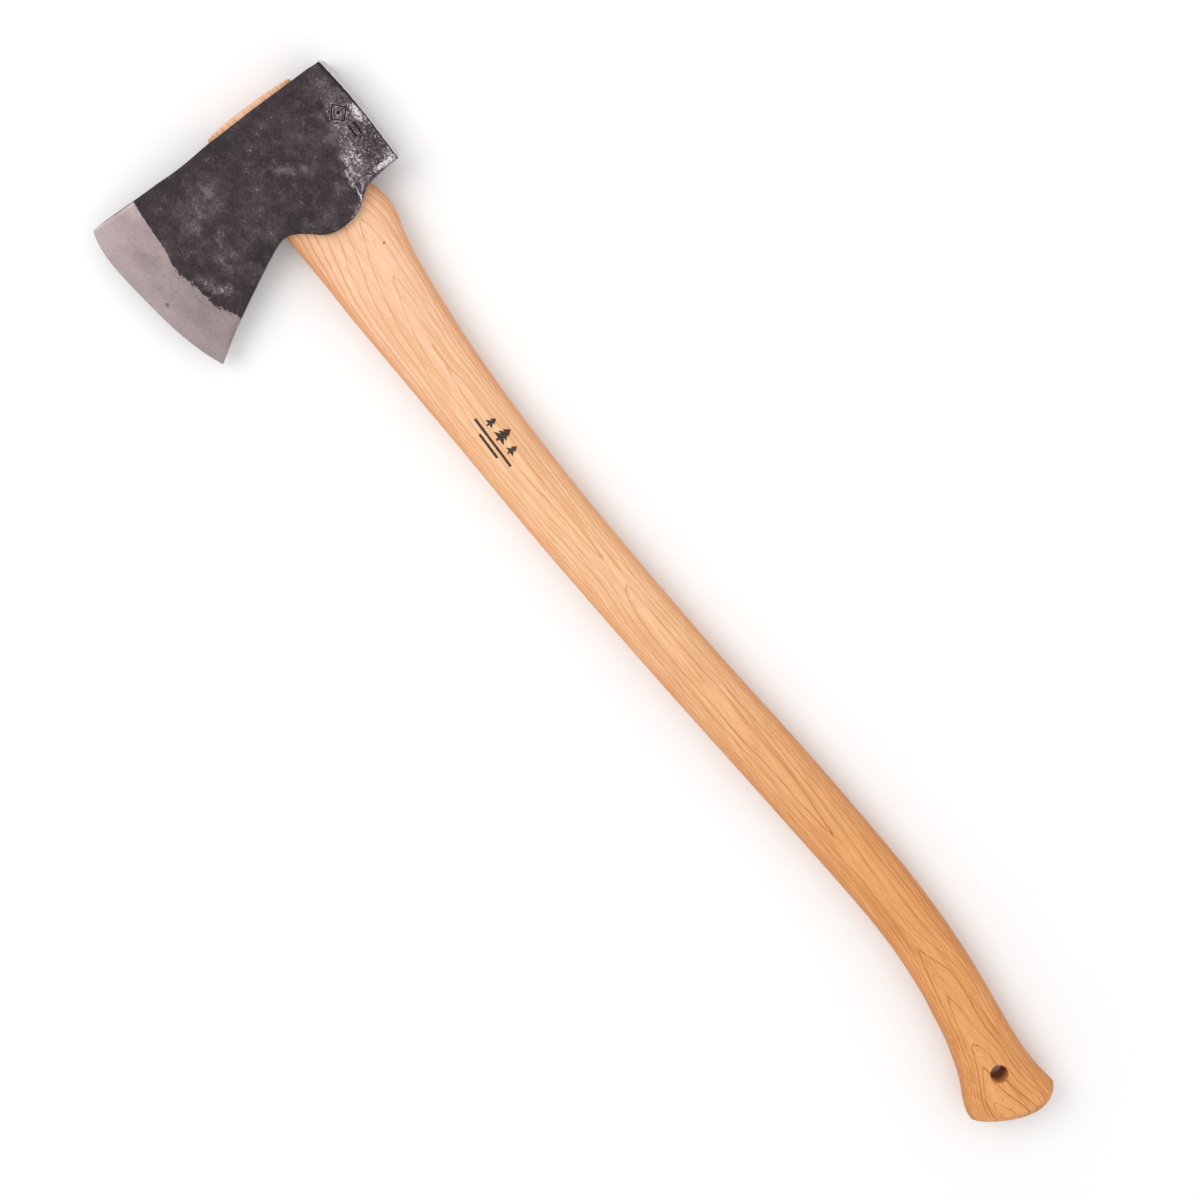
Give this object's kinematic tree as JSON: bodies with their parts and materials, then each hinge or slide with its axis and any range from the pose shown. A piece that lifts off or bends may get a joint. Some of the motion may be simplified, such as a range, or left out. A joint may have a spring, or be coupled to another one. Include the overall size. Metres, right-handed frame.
{
  "type": "felling axe",
  "caption": "Long-hafted felling axe: forged head with a flaring ground bit, square poll and lugged eye, wedged on a curved hickory haft with a flared foot and a hanging hole.",
  "frame": {"origin": "middle of the underside of the axe's box, with the axe lying on its side", "axes": "+X runs up the haft from the foot to the top of the head, +Y from the poll to the cutting edge, and +Z is the thickness, out of the side that faces up"},
  "size_m": [0.7889, 0.1771, 0.0312],
  "materials": {
    "forged_steel": "black forge scale over hammered steel, with the bit and the poll's face ground bright",
    "hickory": "fine sanded hickory, oiled, satin",
    "wedge_wood": "sawn hardwood, end grain",
    "wedge_steel": "plain steel, driven"
  },
  "bodies": {
    "root": {"axe_head": "forged_steel", "haft": "hickory", "wooden_wedge": "wedge_wood", "steel_wedge": "wedge_steel"}
  },
  "joints": []
}
